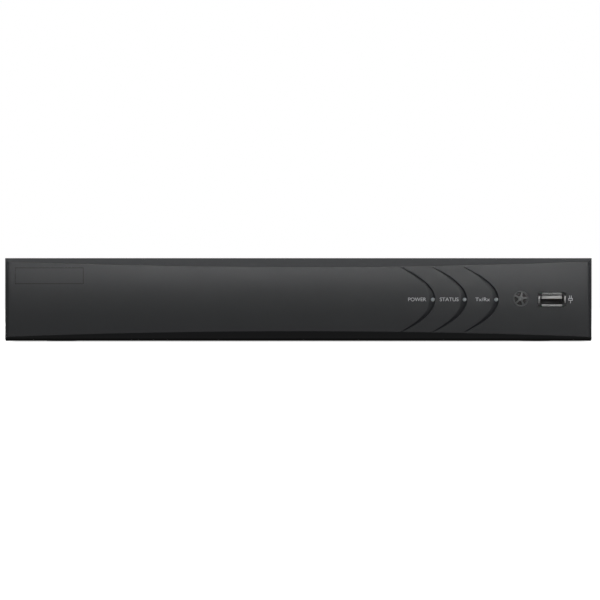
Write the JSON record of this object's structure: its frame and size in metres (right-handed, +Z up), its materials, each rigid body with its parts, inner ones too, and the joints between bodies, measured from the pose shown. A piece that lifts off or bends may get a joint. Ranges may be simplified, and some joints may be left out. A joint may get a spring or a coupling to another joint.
{
  "type": "video recorder",
  "caption": "Slim desktop video recorder with a bowed moulded front, crescent grooves, lamps and USB port, slide-off steel cover, rear connectors, fan and hard disk.",
  "frame": {"origin": "middle of the whole footprint, on the surface the feet stand on", "axes": "+X to the right seen from the front, -Y towards the front, +Z up"},
  "size_m": [0.315, 0.252, 0.045],
  "materials": {
    "chassis_tray": "satin zinc-plated steel sheet",
    "top_cover": "fine black powder coat",
    "cover_screws": "black oxide",
    "rubber_feet": "matt black",
    "ground_screw": "zinc plated",
    "front_bezel": "fine-grained charcoal moulding",
    "power_light_pipe": "clear frosted",
    "status_light_pipe": "clear frosted",
    "network_light_pipe": "clear frosted",
    "ir_window": "dark infrared-pass, polished",
    "front_board": "green solder resist",
    "indicator_leds": "clear",
    "ir_receiver": "black",
    "usb_shells": "nickel plated",
    "usb_insulators": "pale grey",
    "mainboard": "green solder resist",
    "board_screws": "zinc plated",
    "processor": "black moulding",
    "heatsink": "black anodised",
    "board_chips": "black moulding",
    "capacitors": "sleeved",
    "inductors": "grey ferrite",
    "battery_holder": "black",
    "rtc_battery": "polished",
    "buzzer": "black",
    "board_headers": "ivory",
    "bnc_housings": "black",
    "bnc_shells": "nickel plated",
    "bnc_insulators": "white",
    "bnc_contacts": "gold plated",
    "rca_housing": "black",
    "rca_shells": "nickel plated",
    "rca_inserts": "red and white",
    "vga_shell": "nickel plated",
    "vga_insulator": "blue",
    "vga_jackscrews": "nickel plated",
    "hdmi_shell": "nickel plated",
    "hdmi_insulator": "black",
    "lan_shield": "nickel plated",
    "lan_insert": "black",
    "terminal_block": "green",
    "terminal_lever_a": "orange",
    "terminal_lever_b": "orange",
    "dc_jack": "black",
    "dc_jack_pin": "nickel plated",
    "switch_housing": "black",
    "power_rocker": "black",
    "fan_frame": "black",
    "fan_rotor": "black",
    "fan_screws": "black oxide",
    "hdd_base": "die cast",
    "hdd_lid": "brushed",
    "hdd_platters": "polished",
    "hdd_actuator": "machined",
    "hdd_magnets": "nickel plated",
    "hdd_board": "green solder resist",
    "hdd_screws": "zinc plated",
    "sata_data_cable": "red flat cable",
    "wire_leads": "insulated wire and black plugs",
    "front_ribbon_cable": "grey ribbon"
  },
  "bodies": {
    "chassis": {"chassis_tray": "chassis_tray", "rubber_feet": "rubber_feet", "ground_screw": "ground_screw", "front_bezel": "front_bezel", "power_light_pipe": "power_light_pipe", "status_light_pipe": "status_light_pipe", "network_light_pipe": "network_light_pipe", "ir_window": "ir_window", "front_board": "front_board", "indicator_leds": "indicator_leds", "ir_receiver": "ir_receiver", "usb_shells": "usb_shells", "usb_insulators": "usb_insulators", "mainboard": "mainboard", "board_screws": "board_screws", "processor": "processor", "heatsink": "heatsink", "board_chips": "board_chips", "capacitors": "capacitors", "inductors": "inductors", "battery_holder": "battery_holder", "rtc_battery": "rtc_battery", "buzzer": "buzzer", "board_headers": "board_headers", "bnc_housings": "bnc_housings", "bnc_shells": "bnc_shells", "bnc_insulators": "bnc_insulators", "bnc_contacts": "bnc_contacts", "rca_housing": "rca_housing", "rca_shells": "rca_shells", "rca_inserts": "rca_inserts", "vga_shell": "vga_shell", "vga_insulator": "vga_insulator", "vga_jackscrews": "vga_jackscrews", "hdmi_shell": "hdmi_shell", "hdmi_insulator": "hdmi_insulator", "lan_shield": "lan_shield", "lan_insert": "lan_insert", "terminal_block": "terminal_block", "dc_jack": "dc_jack", "dc_jack_pin": "dc_jack_pin", "switch_housing": "switch_housing", "fan_frame": "fan_frame", "fan_screws": "fan_screws", "hdd_base": "hdd_base", "hdd_lid": "hdd_lid", "hdd_magnets": "hdd_magnets", "hdd_board": "hdd_board", "hdd_screws": "hdd_screws", "sata_data_cable": "sata_data_cable", "wire_leads": "wire_leads", "front_ribbon_cable": "front_ribbon_cable"},
    "top_cover": {"top_cover": "top_cover", "cover_screws": "cover_screws"},
    "fan_rotor": {"fan_rotor": "fan_rotor"},
    "power_rocker": {"power_rocker": "power_rocker"},
    "hdd_platters": {"hdd_platters": "hdd_platters"},
    "hdd_actuator": {"hdd_actuator": "hdd_actuator"},
    "terminal_lever_a": {"terminal_lever_a": "terminal_lever_a"},
    "terminal_lever_b": {"terminal_lever_b": "terminal_lever_b"}
  },
  "joints": [
    {"name": "cover_slide", "type": "slide", "parent": "chassis", "child": "top_cover", "axis": [0, 1, 0], "range_m": [0, 0.24]},
    {"name": "fan_spin", "type": "hinge", "parent": "chassis", "child": "fan_rotor", "pos_m": [0.128, 0.11, 0.0235], "axis": [0, 1, 0], "continuous": true},
    {"name": "rocker_tilt", "type": "hinge", "parent": "chassis", "child": "power_rocker", "pos_m": [-0.131, 0.1145, 0.0196], "axis": [1, 0, 0], "range_deg": [0, 14]},
    {"name": "platter_spin", "type": "hinge", "parent": "chassis", "child": "hdd_platters", "pos_m": [-0.084, -0.0492, 0.02], "axis": [0, 0, 1], "continuous": true},
    {"name": "actuator_swing", "type": "hinge", "parent": "chassis", "child": "hdd_actuator", "pos_m": [-0.034, -0.0742, 0.02], "axis": [0, 0, 1], "range_deg": [0, 36]},
    {"name": "lever_a_press", "type": "slide", "parent": "chassis", "child": "terminal_lever_a", "axis": [0, -1, 0], "range_m": [0, 0.0012], "stiffness_N_per_m": 1500, "springref_m": -0.001},
    {"name": "lever_b_press", "type": "slide", "parent": "chassis", "child": "terminal_lever_b", "axis": [0, -1, 0], "range_m": [0, 0.0012], "stiffness_N_per_m": 1500, "springref_m": -0.001}
  ]
}
